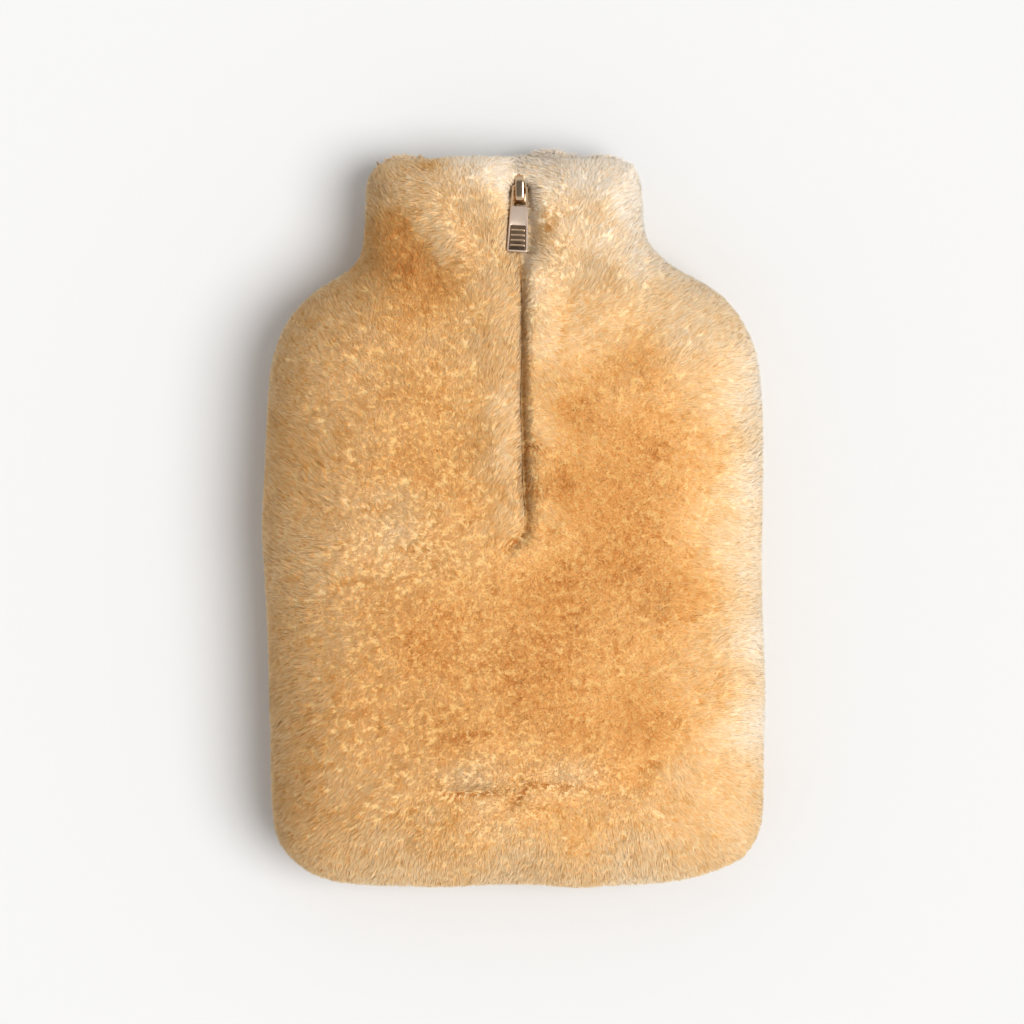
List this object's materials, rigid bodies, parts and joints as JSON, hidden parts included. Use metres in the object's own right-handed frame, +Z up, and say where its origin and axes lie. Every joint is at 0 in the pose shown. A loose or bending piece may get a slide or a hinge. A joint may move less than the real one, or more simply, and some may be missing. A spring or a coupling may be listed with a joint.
{
  "type": "sheepskin hot water bottle cover",
  "caption": "Plump sheepskin cover for a flat hot water bottle, with an open neck and a zip down the front that closes it round the bottle.",
  "frame": {"origin": "on the floor, under the middle of the cover's box", "axes": "+Z up, +Y along the cover towards its neck, +X to the right of the zip as seen from above"},
  "size_m": [0.2485, 0.3664, 0.0768],
  "materials": {
    "sheepskin": "short dense sheared wool, honey coloured, lighter at the tips",
    "zip_tape": "woven tape with closed coil teeth, tan",
    "champagne_metal": "polished pale rose gold plating"
  },
  "bodies": {
    "root": {"back_panel": "sheepskin", "front_panel": "sheepskin", "zip_chain": "zip_tape", "zip_slider": "champagne_metal", "zip_pull": "champagne_metal"}
  },
  "joints": []
}
